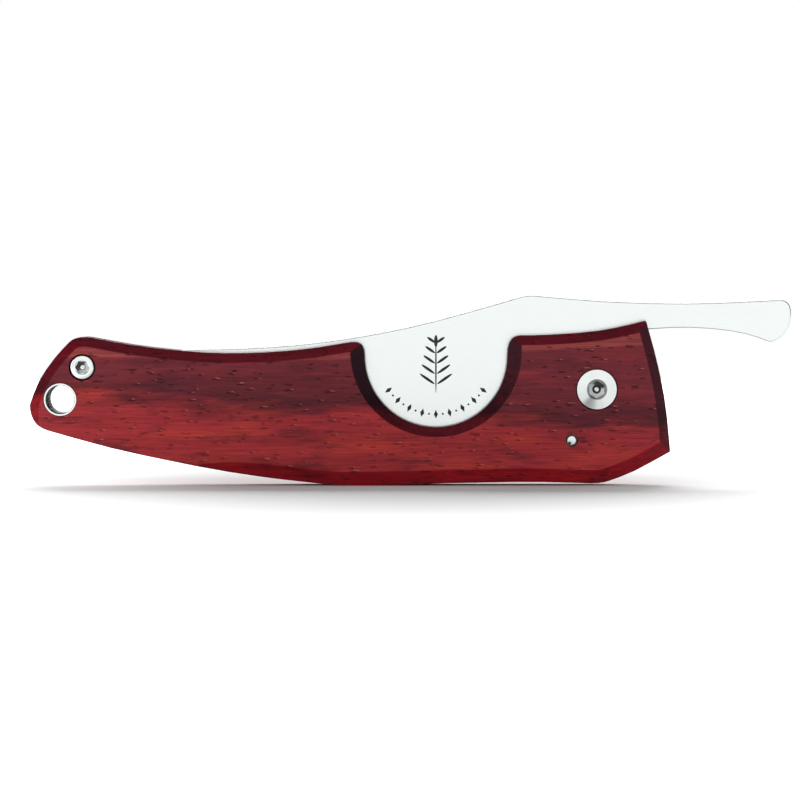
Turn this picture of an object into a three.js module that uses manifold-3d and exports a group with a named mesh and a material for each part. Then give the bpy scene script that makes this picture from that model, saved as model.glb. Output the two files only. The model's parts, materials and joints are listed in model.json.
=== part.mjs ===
// Folding cigar cutter knife: a friction-folding blade with a long tail, between two steel liners
// and two wooden scales with a half-moon notch. Millimetres. +X runs from the lanyard hole to the
// tail, +Z is up, the front scale faces -Y, and Z = 0 is the lowest point of the handle. The blade
// is closed, with its spine up. Outlines are lists of [x, z] points in the plane of the blade.

import * as THREE from 'three';
import { mergeVertices } from 'three/addons/utils/BufferGeometryUtils.js';
import Module from 'manifold-3d';

const wasm = await Module();
wasm.setup();

// Layers, as distances from the middle plane Y = 0.
const BLADE_FACE = 1.2;
const RUNNING_GAP = 0.05;
const WASHER_THICKNESS = 0.25;
const LINER_THICKNESS = 1.0;
const SCALE_THICKNESS = 3.25;
const LINER_INNER = BLADE_FACE + RUNNING_GAP + WASHER_THICKNESS;
const LINER_OUTER = LINER_INNER + LINER_THICKNESS;
const SCALE_FACE = LINER_OUTER + SCALE_THICKNESS;
const HALF_BEYOND = 10;

// Places in the plane of the blade.
const PIVOT = [30.49, 15.82];
const STOP_PIN = [26.36, 7.46];
const TAIL_SCREW = [-53.93, 19.44];
const LANYARD_HOLE = [-57.54, 14.16];
const NOTCH_CENTRE = [4.12, 21.31];
const NOTCH_RADIUS = 11.73;

// Handle edges.
const CHAMFER_DEPTH = 1.5;
const TOP_CHAMFER_WIDTH = 1.6;
const BOTTOM_CHAMFER_WIDTH = 2.3;
const NOTCH_FLARE_DEPTH = 1.6;
const NOTCH_FLARE_WIDTH = 2.37;
const NOTCH_FLARE_RISE = 0.82;
const LINER_LIP = 0.12;
const LINER_INSET = 0.12;
const SPACER_INSET = 0.4;

// Blade.
const TANG_RADIUS = 8.2;
const TANG_START_DEG = 71;
const TANG_END_DEG = -122.4;
const HEEL_RADIUS = 10.9;
const RICASSO_X = 22.6;
const GRIND_HEIGHT = 3.6;
const EDGE_LAND = 0.1;

// Fasteners.
const FIT_GAP = 0.02;
const PIVOT_GAP = 0.05;
const HEAD_GAP = 0.05;
const COUNTERBORE_DEPTH = 1.9;
const PIVOT_SLEEVE_RADIUS = 2.4;
const PIVOT_THREAD_RADIUS = 1.5;
const PIVOT_HEAD_RADIUS = 3.4;
const PIVOT_CROWN_RADIUS = 1.75;
const PIVOT_CONE_DROP = 0.12;
const PIVOT_RIM_WIDTH = 0.25;
const PIVOT_RIM_DROP = 0.3;
const PIVOT_SOCKET_WIDTH = 2.5;
const PIVOT_SOCKET_DEPTH = 1.4;
const PIVOT_LEAD_IN_RADIUS = 1.65;
const WASHER_RADIUS = 5.5;
const TAIL_SLEEVE_RADIUS = 1.7;
const TAIL_THREAD_RADIUS = 1.0;
const TAIL_HEAD_RADIUS = 1.975;
const TAIL_RECESS_RADIUS = 2.2;
const TAIL_HEAD_SUNK = 0.2;
const TAIL_RIM = 0.15;
const TAIL_SOCKET_WIDTH = 2.0;
const TAIL_SOCKET_DEPTH = 1.1;
const TAIL_LEAD_IN_RADIUS = 1.16;
const SLEEVE_SHORT = 0.05;
const THREAD_REACH = 0.4;
const TUBE_RADIUS = 2.75;
const TUBE_BORE_RADIUS = 2.3;
const PIN_RADIUS = 0.85;
const PIN_RECESS_RADIUS = 1.05;
const PIN_SUNK = 0.2;
const LARGE_SIDES = 48;
const SMALL_SIDES = 32;

// ---- Outlines ----

const vector = ([x, z]) => new THREE.Vector2(x, z);
const pairs = (curve, steps) => curve.getPoints(steps).map((point) => [point.x, point.y]);

function through(steps, ...points) {
  return pairs(new THREE.SplineCurve(points.map(vector)), steps);
}

function bend(steps, from, corner, to) {
  return pairs(new THREE.QuadraticBezierCurve(vector(from), vector(corner), vector(to)), steps);
}

function arc(steps, [x, z], radius, fromDeg, toDeg) {
  const [from, to] = [fromDeg, toDeg].map(THREE.MathUtils.degToRad);
  return pairs(new THREE.EllipseCurve(x, z, radius, radius, from, to, to < from), steps);
}

function polar([x, z], radius, degrees) {
  const angle = THREE.MathUtils.degToRad(degrees);
  return [x + radius * Math.cos(angle), z + radius * Math.sin(angle)];
}

// Stretches end to end as one outline, without the points that two neighbours share.
function joined(...stretches) {
  const near = (a, b) => Math.hypot(a[0] - b[0], a[1] - b[1]) < 1e-6;
  return stretches.flat().filter((point, i, all) => !near(point, all[(i + 1) % all.length]));
}

// A clockwise outline moved inwards by a distance, along the mitre at each point.
function inset(points, distance) {
  return points.map((point, i) => {
    const before = vector(points.at(i - 1));
    const here = vector(point);
    const after = vector(points[(i + 1) % points.length]);
    const arriving = here.clone().sub(before).normalize();
    const leaving = after.sub(here).normalize();
    const inward = new THREE.Vector2(arriving.y + leaving.y, -arriving.x - leaving.x).normalize();
    const mitre = distance / (inward.x * arriving.y - inward.y * arriving.x);
    return [here.x + inward.x * mitre, here.y + inward.y * mitre];
  });
}

const topLeftEdge = () => [
  ...bend(8, [-56.4, 23.3], [-55.2, 24.75], [-52.6, 24.38]),
  ...through(
    12, [-52.6, 24.38], [-44.4, 22.95], [-34.6, 21.97], [-27.0, 21.83], [-18.0, 22.4], [-10.0, 23.61],
  ),
];
const topRightEdge = () => through(
  7, [17.9, 24.68], [22.0, 24.75], [29.3, 25.25], [34.3, 26.07], [38.6, 27.13],
);
const rightEnd = () => through(8, [38.6, 27.13], [40.4, 20.5], [41.8, 13.6], [42.62, 5.57]);
const slantedEdge = () => [
  ...through(4, [42.62, 5.57], [36.7, 2.38], [32.6, 0.78]),
  ...bend(3, [32.6, 0.78], [31.4, 0.34], [29.6, 0.36]),
];
const bottomEdge = () => through(
  14, [29.6, 0.36], [20.0, 0.6], [8.0, 0.42], [-3.0, 0.12], [-9.5, 0], [-14.5, 0.28], [-22.0, 1.1],
);
const lowerLeftEdge = () => through(
  8, [-22.0, 1.1], [-29.7, 2.21], [-39.5, 4.1], [-49.3, 6.23], [-59.5, 9.05],
);
const leftSlope = () => through(6, [-62.65, 13.28], [-61.15, 17.13], [-58.52, 20.98], [-56.4, 23.3]);
const leftEnd = () => [...bend(7, [-59.5, 9.05], [-62.62, 9.95], [-62.65, 13.28]), ...leftSlope()];

function handleOutline() {
  return joined(
    topLeftEdge(), topRightEdge(), rightEnd(), slantedEdge(), bottomEdge(), lowerLeftEdge(), leftEnd(),
  );
}

// The handle with its half-moon notch, whose two top corners are rounded.
function notchedOutline(radius) {
  const [x, z] = NOTCH_CENTRE;
  return joined(
    topLeftEdge(),
    bend(5, [-10.0, 23.61], [x - radius, 24.1], [x - radius, z]),
    arc(32, NOTCH_CENTRE, radius, 180, 360),
    bend(5, [x + radius, z], [x + radius, 24.65], [17.9, 24.68]),
    topRightEdge(), rightEnd(), slantedEdge(), bottomEdge(), lowerLeftEdge(), leftEnd(),
  );
}

// Guides for the chamfers: each follows the handle where it has that chamfer, and leaves it elsewhere.
function topChamferGuide() {
  return joined(
    topLeftEdge(), topRightEdge(), rightEnd(), [[45, -30], [-62.9, -30]], leftSlope(),
  );
}

function bottomChamferGuide() {
  return joined(
    [[-90, 60], [70, 60], [70, 18.1]], slantedEdge(), bottomEdge(),
    through(6, [-22.0, 1.1], [-27.5, 1.6], [-33.0, 1.45], [-40.0, 0.0]), [[-90, -16]],
  );
}

function notchFlareOutline() {
  const [x, z] = NOTCH_CENTRE;
  const top = z + 20;
  return joined(
    [[x - NOTCH_RADIUS, top]], arc(32, NOTCH_CENTRE, NOTCH_RADIUS, 180, 360), [[x + NOTCH_RADIUS, top]],
  );
}

// A strip along the left end and the lower edge, clear of the closed blade and of the open tail.
function spacerRegion() {
  return joined(
    [[-70, -5], [-70, 30], [-48.6, 30]],
    through(8, [-48.6, 22.0], [-47.2, 17.6], [-42.0, 13.4], [-32.0, 9.2], [-20.0, 5.6], [-6.5, 3.4]),
    bend(4, [-6.5, 3.4], [-3.0, 3.0], [-3.0, 1.4]), [[-3.0, -5]],
  );
}

const cuttingEdge = () => through(
  20, [RICASSO_X, 6.35], [12.0, 5.75], [2.0, 5.75], [-8.0, 6.6], [-20.0, 9.0], [-32.0, 13.0], [-40.0, 16.9],
  [-45.3, 20.6],
);

function bladeOutline() {
  return joined(
    through(
      18, [-45.3, 20.6], [-40.2, 21.95], [-35.4, 22.3], [-28.0, 22.46], [-18.2, 23.11], [-8.36, 24.43],
      [1.48, 26.39], [11.31, 29.02], [18.0, 30.95],
    ),
    bend(4, [18.0, 30.95], [19.6, 31.42], [21.5, 31.1]),
    through(10, [21.5, 31.1], [31.0, 30.33], [39.2, 30.0], [45.7, 29.92], [53.9, 30.16], [60.6, 30.52]),
    bend(5, [60.6, 30.52], [62.85, 30.6], [62.65, 27.9]),
    bend(6, [62.65, 27.9], [62.3, 24.7], [59.7, 23.7]),
    bend(2, [59.7, 23.7], [59.2, 23.5], [58.6, 23.75]),
    through(9, [58.6, 23.75], [55.6, 24.8], [51.0, 25.6], [45.0, 25.95], [39.2, 25.66], [34.6, 25.2]),
    [[33.3, 25.1]],
    arc(28, PIVOT, TANG_RADIUS, TANG_START_DEG, TANG_END_DEG),
    [polar(PIVOT, HEEL_RADIUS, TANG_END_DEG)],
    cuttingEdge(),
  );
}

// Bounded below by the cutting edge, carried on past both of its ends, and wide of the blade elsewhere.
function grindGuide() {
  return joined([[70, 70], [70, 6.35]], cuttingEdge(), [[-75, 41.5], [-75, 70]]);
}

// ---- Solids ----

// A closed geometry as a solid.
function solid(geometry) {
  const bare = geometry.clone();
  bare.deleteAttribute('normal');
  bare.deleteAttribute('uv');
  const merged = mergeVertices(bare);
  return new wasm.Manifold(new wasm.Mesh({
    numProp: 3,
    vertProperties: new Float32Array(merged.attributes.position.array),
    triVerts: new Uint32Array(merged.index.array),
  }));
}

function geometryOf(body) {
  const { vertProperties, triVerts } = body.getMesh();
  const geometry = new THREE.BufferGeometry();
  geometry.setAttribute('position', new THREE.BufferAttribute(new Float32Array(vertProperties), 3));
  geometry.setIndex(new THREE.BufferAttribute(new Uint32Array(triVerts), 1));
  return geometry;
}

// An outline extruded towards the front, from one distance from the middle plane to another.
function slab(points, from, to) {
  const shape = new THREE.Shape(points.map(vector));
  const geometry = new THREE.ExtrudeGeometry(shape, { depth: to - from, bevelEnabled: false });
  return solid(geometry.translate(0, 0, from).rotateX(Math.PI / 2));
}

// An outline extruded from the back to a front face, with a chamfer of one width around both faces.
function chamferedSlab(points, from, to, width, depth) {
  const shape = new THREE.Shape(points.map(vector));
  const geometry = new THREE.ExtrudeGeometry(shape, {
    depth: to - from - 2 * depth,
    bevelThickness: depth,
    bevelSize: width,
    bevelOffset: -width,
    bevelSegments: 1,
  });
  return solid(geometry.translate(0, 0, from + depth).rotateX(Math.PI / 2));
}

// A round bar across the knife, between two distances towards the front.
function bar([x, z], radius, from, to, sides = SMALL_SIDES) {
  const geometry = new THREE.CylinderGeometry(radius, radius, to - from, sides);
  return solid(geometry.translate(x, -(from + to) / 2, z));
}

// A turned piece across the knife. Its profile is [radius, distance to the front] pairs, front end first.
function turned([x, z], profile, sides = SMALL_SIDES) {
  const points = profile.map(([radius, front]) => new THREE.Vector2(radius, -front));
  return solid(new THREE.LatheGeometry(points, sides).translate(x, 0, z));
}

function ring(place, outer, inner, from, to, sides = SMALL_SIDES) {
  return bar(place, outer, from, to, sides).subtract(bar(place, inner, from - 1, to + 1, sides));
}

// The rear pieces are the front pieces mirrored in the middle plane.
function mirrored(geometry) {
  const copy = geometry.clone().scale(1, -1, 1);
  const corners = copy.index.array;
  for (let i = 0; i < corners.length; i += 3) {
    [corners[i], corners[i + 1]] = [corners[i + 1], corners[i]];
  }
  return copy;
}

// ---- Pieces ----

function scale() {
  const chamferedFace = chamferedSlab(
    topChamferGuide(), -HALF_BEYOND, SCALE_FACE, TOP_CHAMFER_WIDTH, CHAMFER_DEPTH,
  ).intersect(chamferedSlab(
    bottomChamferGuide(), -HALF_BEYOND, SCALE_FACE, BOTTOM_CHAMFER_WIDTH, CHAMFER_DEPTH,
  ));
  const floor = SCALE_FACE - COUNTERBORE_DEPTH;
  const holes = [
    bar(PIVOT, PIVOT_HEAD_RADIUS + HEAD_GAP, floor, HALF_BEYOND, LARGE_SIDES),
    bar(PIVOT, PIVOT_THREAD_RADIUS + HEAD_GAP, 0, HALF_BEYOND),
    bar(TAIL_SCREW, TAIL_RECESS_RADIUS, floor, HALF_BEYOND),
    bar(TAIL_SCREW, TAIL_THREAD_RADIUS + HEAD_GAP, 0, HALF_BEYOND),
    bar(LANYARD_HOLE, TUBE_RADIUS + FIT_GAP, 0, HALF_BEYOND, LARGE_SIDES),
    bar(STOP_PIN, PIN_RECESS_RADIUS, 0, HALF_BEYOND),
    notchFlare(),
  ];
  return holes.reduce(
    (body, hole) => body.subtract(hole),
    slab(notchedOutline(NOTCH_RADIUS), LINER_OUTER, HALF_BEYOND).intersect(chamferedFace),
  );
}

// What widens the notch towards the face: a flare that leans upwards as it widens.
function notchFlare() {
  const start = SCALE_FACE - NOTCH_FLARE_DEPTH;
  const geometry = new THREE.ExtrudeGeometry(new THREE.Shape(notchFlareOutline().map(vector)), {
    depth: HALF_BEYOND,
    bevelThickness: NOTCH_FLARE_DEPTH,
    bevelSize: NOTCH_FLARE_WIDTH,
    bevelSegments: 1,
  });
  const lean = new THREE.Matrix4().makeShear(0, 0, 0, 0, 0, NOTCH_FLARE_RISE / NOTCH_FLARE_DEPTH);
  return solid(geometry.translate(0, 0, NOTCH_FLARE_DEPTH).applyMatrix4(lean)
    .translate(0, 0, start).rotateX(Math.PI / 2));
}

function liner() {
  const plate = slab(notchedOutline(NOTCH_RADIUS - LINER_LIP), LINER_INNER, LINER_OUTER)
    .intersect(slab(inset(handleOutline(), LINER_INSET), 0, HALF_BEYOND));
  return [
    bar(PIVOT, PIVOT_SLEEVE_RADIUS + FIT_GAP, 0, HALF_BEYOND),
    bar(TAIL_SCREW, TAIL_SLEEVE_RADIUS + FIT_GAP, 0, HALF_BEYOND),
    bar(LANYARD_HOLE, TUBE_RADIUS + FIT_GAP, 0, HALF_BEYOND, LARGE_SIDES),
    bar(STOP_PIN, PIN_RADIUS + FIT_GAP, 0, HALF_BEYOND),
  ].reduce((body, hole) => body.subtract(hole), plate);
}

function spacer() {
  const region = slab(spacerRegion(), -HALF_BEYOND, HALF_BEYOND);
  return slab(inset(handleOutline(), SPACER_INSET), -LINER_INNER, LINER_INNER)
    .intersect(region)
    .subtract(bar(TAIL_SCREW, TAIL_SLEEVE_RADIUS + FIT_GAP, -HALF_BEYOND, HALF_BEYOND))
    .subtract(bar(LANYARD_HOLE, TUBE_RADIUS + FIT_GAP, -HALF_BEYOND, HALF_BEYOND, LARGE_SIDES));
}

// The blade is flat down to a short grind along its cutting edge, which stops at the ricasso.
function blade() {
  const ricasso = slab([[RICASSO_X, -30], [RICASSO_X, 70], [80, 70], [80, -30]], -BLADE_FACE, BLADE_FACE);
  const grind = chamferedSlab(
    grindGuide(), -BLADE_FACE, BLADE_FACE, GRIND_HEIGHT, BLADE_FACE - EDGE_LAND / 2,
  );
  return slab(bladeOutline(), -BLADE_FACE, BLADE_FACE)
    .intersect(grind.add(ricasso))
    .subtract(bar(PIVOT, PIVOT_SLEEVE_RADIUS + PIVOT_GAP, -HALF_BEYOND, HALF_BEYOND));
}

// A hexagon socket from a face inwards, with a round lead-in.
function hexSocket([x, z], acrossFlats, face, depth, leadIn) {
  const radius = acrossFlats / Math.sqrt(3);
  const hexagon = new THREE.CylinderGeometry(radius, radius, depth, 6).rotateY(Math.PI / 6);
  return solid(hexagon.translate(x, -(face - depth / 2), z))
    .add(turned([x, z], [[0, face + 1], [leadIn, face + 1], [leadIn, face], [0, face - leadIn]]));
}

function pivotScrew() {
  const face = SCALE_FACE;
  const seat = face - COUNTERBORE_DEPTH;
  const shank = PIVOT_THREAD_RADIUS - HEAD_GAP;
  return turned(PIVOT, [
    [0, face], [PIVOT_CROWN_RADIUS, face],
    [PIVOT_HEAD_RADIUS - PIVOT_RIM_WIDTH, face - PIVOT_CONE_DROP],
    [PIVOT_HEAD_RADIUS, face - PIVOT_RIM_DROP], [PIVOT_HEAD_RADIUS, seat],
    [shank, seat], [shank, THREAD_REACH], [0, THREAD_REACH],
  ], LARGE_SIDES)
    .subtract(hexSocket(PIVOT, PIVOT_SOCKET_WIDTH, face, PIVOT_SOCKET_DEPTH, PIVOT_LEAD_IN_RADIUS));
}

function tailScrew() {
  const face = SCALE_FACE - TAIL_HEAD_SUNK;
  const seat = SCALE_FACE - COUNTERBORE_DEPTH;
  const shank = TAIL_THREAD_RADIUS - HEAD_GAP;
  return turned(TAIL_SCREW, [
    [0, face], [TAIL_HEAD_RADIUS - TAIL_RIM, face], [TAIL_HEAD_RADIUS, face - TAIL_RIM],
    [TAIL_HEAD_RADIUS, seat], [shank, seat], [shank, THREAD_REACH], [0, THREAD_REACH],
  ]).subtract(hexSocket(TAIL_SCREW, TAIL_SOCKET_WIDTH, face, TAIL_SOCKET_DEPTH, TAIL_LEAD_IN_RADIUS));
}

const sleeveEnd = LINER_OUTER - SLEEVE_SHORT;
const pivotSleeve = () => ring(PIVOT, PIVOT_SLEEVE_RADIUS, PIVOT_THREAD_RADIUS, -sleeveEnd, sleeveEnd);
const tailSleeve = () => ring(TAIL_SCREW, TAIL_SLEEVE_RADIUS, TAIL_THREAD_RADIUS, -sleeveEnd, sleeveEnd);
const washer = () => ring(
  PIVOT, WASHER_RADIUS, PIVOT_SLEEVE_RADIUS + FIT_GAP,
  LINER_INNER - WASHER_THICKNESS, LINER_INNER, LARGE_SIDES,
);
const lanyardTube = () => ring(
  LANYARD_HOLE, TUBE_RADIUS, TUBE_BORE_RADIUS, -SCALE_FACE, SCALE_FACE, LARGE_SIDES,
);
const stopPin = () => bar(STOP_PIN, PIN_RADIUS, PIN_SUNK - SCALE_FACE, SCALE_FACE - PIN_SUNK);

// ---- Materials ----

function material(color, roughness, metalness) {
  return new THREE.MeshStandardMaterial({ color, roughness, metalness });
}

const wood = () => material(0x86333a, 0.5, 0);
const polishedSteel = () => material(0xeef2f2, 0.25, 1);
const brushedSteel = () => material(0xb4b8b8, 0.4, 1);
const screwSteel = () => material(0xd4dada, 0.3, 1);
const bronze = () => material(0xb08a4a, 0.4, 1);

// ---- Assembly ----

const knife = new THREE.Group();

function place(name, geometry, look) {
  const mesh = new THREE.Mesh(geometry, look);
  mesh.name = name;
  knife.add(mesh);
}

const paired = [
  ['scale', scale, wood],
  ['liner', liner, brushedSteel],
  ['pivot_washer', washer, bronze],
  ['pivot_screw', pivotScrew, screwSteel],
  ['tail_screw', tailScrew, screwSteel],
];
for (const [name, make, look] of paired) {
  const geometry = geometryOf(make());
  place(`front_${name}`, geometry, look());
  place(`rear_${name}`, mirrored(geometry), look());
}

place('blade', geometryOf(blade()), polishedSteel());
place('pivot_sleeve', geometryOf(pivotSleeve()), screwSteel());
place('tail_sleeve', geometryOf(tailSleeve()), screwSteel());
place('tail_spacer', geometryOf(spacer()), brushedSteel());
place('lanyard_tube', geometryOf(lanyardTube()), polishedSteel());
place('stop_pin', geometryOf(stopPin()), screwSteel());

export default knife;
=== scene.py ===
import json
import math

import bmesh
import bpy
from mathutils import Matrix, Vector

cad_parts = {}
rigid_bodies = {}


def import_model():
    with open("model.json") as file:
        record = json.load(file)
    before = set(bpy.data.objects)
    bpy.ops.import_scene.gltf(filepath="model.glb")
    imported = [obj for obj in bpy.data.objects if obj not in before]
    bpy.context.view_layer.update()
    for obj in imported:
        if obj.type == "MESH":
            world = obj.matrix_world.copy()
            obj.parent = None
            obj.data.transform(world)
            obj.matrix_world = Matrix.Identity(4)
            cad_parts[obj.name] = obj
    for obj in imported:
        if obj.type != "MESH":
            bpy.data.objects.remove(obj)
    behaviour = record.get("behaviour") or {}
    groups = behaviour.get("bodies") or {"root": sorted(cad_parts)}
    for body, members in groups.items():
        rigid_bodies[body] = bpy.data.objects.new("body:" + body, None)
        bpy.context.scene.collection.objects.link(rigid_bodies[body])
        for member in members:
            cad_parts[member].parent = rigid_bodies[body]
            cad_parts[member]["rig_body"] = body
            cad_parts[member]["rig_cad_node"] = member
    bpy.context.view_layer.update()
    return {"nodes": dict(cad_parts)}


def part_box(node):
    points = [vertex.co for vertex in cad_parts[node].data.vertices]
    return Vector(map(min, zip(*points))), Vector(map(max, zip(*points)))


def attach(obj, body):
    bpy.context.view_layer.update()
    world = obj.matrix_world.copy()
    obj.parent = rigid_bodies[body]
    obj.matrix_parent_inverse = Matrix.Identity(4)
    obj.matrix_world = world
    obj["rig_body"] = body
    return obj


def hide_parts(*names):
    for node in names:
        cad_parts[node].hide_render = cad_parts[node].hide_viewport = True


bl_info = {
    "name": "Folding cigar cutter knife",
    "version": (1, 0, 0),
    "blender": (4, 5, 0),
    "location": "3D View > Sidebar > Knife",
    "description": "Builds the look of a wooden-handled folding cigar cutter around its packed frame",
    "category": "Add Mesh",
}

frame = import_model()
MM = 0.001


# ---- Places and sizes that the frame gives, in metres ----

def front_of(node):
    """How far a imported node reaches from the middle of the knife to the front."""
    return -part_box(node)[0].y


def middle(node):
    """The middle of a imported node's box."""
    low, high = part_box(node)
    return (low + high) / 2


def radius_of(node):
    """The radius of a packed round piece that lies across the knife."""
    low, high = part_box(node)
    return (high.z - low.z) / 2


FACE = front_of("front_scale")
BLADE_FACE = front_of("blade")
PIVOT = middle("pivot_sleeve")
TAIL_SCREW = middle("tail_sleeve")
LANYARD = middle("lanyard_tube")
STOP_PIN = middle("stop_pin")
# The half-moon notch: the middle of its arc, and how far its flare reaches from there.
NOTCH = Vector((4.12, 0, 21.31)) * MM
NOTCH_REACH = 14.6 * MM
# Each hole through the handle, with a radius a little over its piece's own, which holds all its edges.
HOLES = tuple(
    (place, radius_of(node) + room * MM)
    for place, node, room in (
        (PIVOT, "front_pivot_screw", 0.2), (TAIL_SCREW, "front_tail_screw", 0.4),
        (LANYARD, "lanyard_tube", 0.1), (STOP_PIN, "stop_pin", 0.4),
    )
)


# ---- Sizes and finishes that a user would change ----

def length(name, description, millimetres):
    """A length property, given in millimetres."""
    return bpy.props.FloatProperty(
        name=name, description=description, default=millimetres * MM, min=0.0, unit="LENGTH", precision=5
    )


def colour(name, description, hex_value):
    """A colour property with an sRGB hex default."""
    return bpy.props.FloatVectorProperty(
        name=name, description=description, default=linear(hex_value)[:3], size=3, min=0.0, max=1.0,
        subtype="COLOR",
    )


def linear(hex_value):
    """An sRGB hex colour as linear red, green, blue and full alpha."""
    def channel(value):
        value /= 255
        return value / 12.92 if value <= 0.04045 else ((value + 0.055) / 1.055) ** 2.4
    return tuple(channel(int(hex_value[i:i + 2], 16)) for i in (1, 3, 5)) + (1.0,)


class KnifeSizes(bpy.types.PropertyGroup):
    """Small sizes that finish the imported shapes."""

    wood_round: length("Wood edge round", "Width of the sanded round on the wooden edges", 0.2)
    steel_round: length("Steel edge round", "Width of the broken edges on the blade", 0.2)
    liner_round: length("Liner edge round", "Width of the broken edges on liners and spacer", 0.05)
    pivot_socket: length("Pivot socket", "Width across flats of the pivot screw's hexagon", 2.5)
    tail_socket: length("Tail socket", "Width across flats of the tail screw's hexagon", 2.0)
    engraving: length("Engraving", "How far the dark engraving shows above the steel", 0.012)


class KnifeColours(bpy.types.PropertyGroup):
    """Colours of the finishes."""

    wood_dark: colour("Dark heart", "Plum-brown bands of the wood", "#702832")
    wood_smoke: colour("Smoke", "Dark border under the plum band, and dark smudges", "#552029")
    wood_mid: colour("Red heart", "Main red of the wood", "#a33035")
    wood_warm: colour("Warm heart", "Orange-red patches of the wood", "#b83c34")
    wood_pale: colour("Pale stripe", "Salmon-brown stripe near the top edge", "#9a4540")
    wood_pore: colour("Pores", "Open pores of the wood", "#3a0b13")
    wood_fleck: colour("Flecks", "Dried gum beside the pores", "#dc7668")
    # Painted shade on the chamfers, for how they turn away from the lights, with the deeper red of their
    # oil.
    chamfer_oil_and_shade: colour("Oiled edges", "Filter that the oil lays on chamfers", "#de81aa")
    # Painted shade on faces turned to the right and on the notch's flare, with the darker oil of end grain.
    end_grain_and_shade: colour("Oiled end grain", "Filter that the oil lays on end grain", "#a8dde6")
    steel: colour("Steel", "Polished stainless steel", "#e0e5e3")
    liner: colour("Liner steel", "Brushed stainless steel", "#a8abab")
    # Painted shade on the blade's rounded edges, which turn away from the front.
    edge_shade: colour("Ground edges", "Filter of the matt ground edges of the blade", "#9a9c9c")
    # Painted shade in bores and sockets.
    recess_shade: colour("Shadowed steel", "Dark scale left in bores and sockets", "#262a2a")
    bronze_dull: colour("Dull bronze", "Dulled patches of the washers", "#8a6a3c")
    bronze_bright: colour("Bright bronze", "Rubbed patches of the washers", "#b8935a")
    # Painted highlights in sockets and bores.
    painted_glint: colour("Glints", "Bright tool marks in the sockets", "#f6fafa")
    ink: colour("Engraving", "Oxide of the dark engraving", "#1d1d1f")
    floor: colour("Floor", "Studio floor", "#f6f6f6")


# ---- Small modelling steps ----

def start_clean():
    """Object mode with nothing selected, so that the next operator meets only its own piece."""
    if bpy.context.object and bpy.context.object.mode != "OBJECT":
        bpy.ops.object.mode_set(mode="OBJECT")
    bpy.ops.object.select_all(action="DESELECT")


def only(piece):
    """Makes one piece the selected and active one."""
    start_clean()
    piece.select_set(True)
    bpy.context.view_layer.objects.active = piece


def edit(piece, select_all=True):
    """Edit mode on one piece."""
    only(piece)
    bpy.ops.object.mode_set(mode="EDIT")
    bpy.ops.mesh.select_all(action="SELECT" if select_all else "DESELECT")


def settle(piece, angle=35):
    """Puts the place into the mesh, turns the faces outwards and smooths what isn't a sharp edge."""
    edit(piece)
    bpy.ops.mesh.normals_make_consistent(inside=False)
    bpy.ops.object.mode_set(mode="OBJECT")
    bpy.ops.object.transform_apply(location=True, rotation=True, scale=True)
    bpy.ops.object.shade_smooth_by_angle(angle=math.radians(angle))


def apply_modifier(piece, kind, **settings):
    """Adds a modifier with its settings and applies it."""
    only(piece)
    bpy.ops.object.modifier_add(type=kind)
    modifier = piece.modifiers[-1]
    for key, value in settings.items():
        setattr(modifier, key, value)
    bpy.ops.object.modifier_apply(modifier=modifier.name)


def dressed(node, name, width, segments=3, edge_angle=20, crisp=(), merge=0.0):
    """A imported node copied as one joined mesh, with its sharp edges rounded. It stands for the node.

    The edges of holes stay crisp: each is given as its place and radius across the knife. Edges shorter
    than merge are closed up first, so that the rounding has room.
    """
    only(frame["nodes"][node])
    bpy.ops.object.duplicate()
    piece = bpy.context.object
    piece.name = piece.data.name = name
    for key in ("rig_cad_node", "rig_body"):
        if key in piece:
            del piece[key]
    edit(piece)
    bpy.ops.mesh.remove_doubles(threshold=0.0005 * MM)
    bpy.ops.mesh.dissolve_limited(angle_limit=math.radians(0.3))
    if merge:
        bpy.ops.mesh.select_all(action="SELECT")
        bpy.ops.mesh.remove_doubles(threshold=merge)
    bpy.ops.mesh.select_mode(type="EDGE")
    bpy.ops.mesh.select_all(action="DESELECT")
    bpy.ops.mesh.edges_select_sharp(sharpness=math.radians(edge_angle))
    mesh = bmesh.from_edit_mesh(piece.data)
    for edge in mesh.edges:
        spot = (edge.verts[0].co + edge.verts[1].co) / 2
        if any(math.hypot(spot.x - place.x, spot.z - place.z) < radius for place, radius in crisp):
            edge.select = False
    mesh.select_flush_mode()
    bmesh.update_edit_mesh(piece.data)
    bpy.ops.mesh.bevel(offset=width, segments=segments, affect="EDGES", clamp_overlap=False)
    bpy.ops.object.mode_set(mode="OBJECT")
    bpy.ops.object.shade_smooth_by_angle(angle=math.radians(40))
    apply_modifier(piece, "WEIGHTED_NORMAL", weight=100, keep_sharp=True)
    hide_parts(node)
    return piece


def turned(name, place, rings, sides=96, hollow=False):
    """A round piece across the knife, drawn out ring by ring from (radius, distance to the front)."""
    radius, front = rings[0]
    start_clean()
    bpy.ops.mesh.primitive_circle_add(
        vertices=sides, radius=radius, fill_type="NOTHING" if hollow else "NGON",
        location=(place.x, -front, place.z), rotation=(math.pi / 2, 0, 0),
    )
    piece = bpy.context.object
    piece.name = piece.data.name = name
    bpy.ops.object.transform_apply(location=True, rotation=True, scale=True)
    edit(piece)
    for next_radius, next_front in rings[1:]:
        bpy.ops.mesh.extrude_region_move(
            TRANSFORM_OT_translate={"value": (0, front - next_front, 0)}
        )
        share = next_radius / radius
        bpy.ops.transform.resize(
            value=(share, 1, share), center_override=(place.x, -next_front, place.z)
        )
        radius, front = next_radius, next_front
    if hollow:
        bpy.ops.mesh.select_all(action="SELECT")
        bpy.ops.mesh.remove_doubles(threshold=0.001 * MM)
    settle(piece)
    return piece


def cut(piece, cutter):
    """Takes a cutter out of a piece and throws the cutter away."""
    apply_modifier(piece, "BOOLEAN", operation="DIFFERENCE", object=cutter, solver="EXACT")
    start_clean()
    bpy.data.objects.remove(cutter, do_unlink=True)


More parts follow.
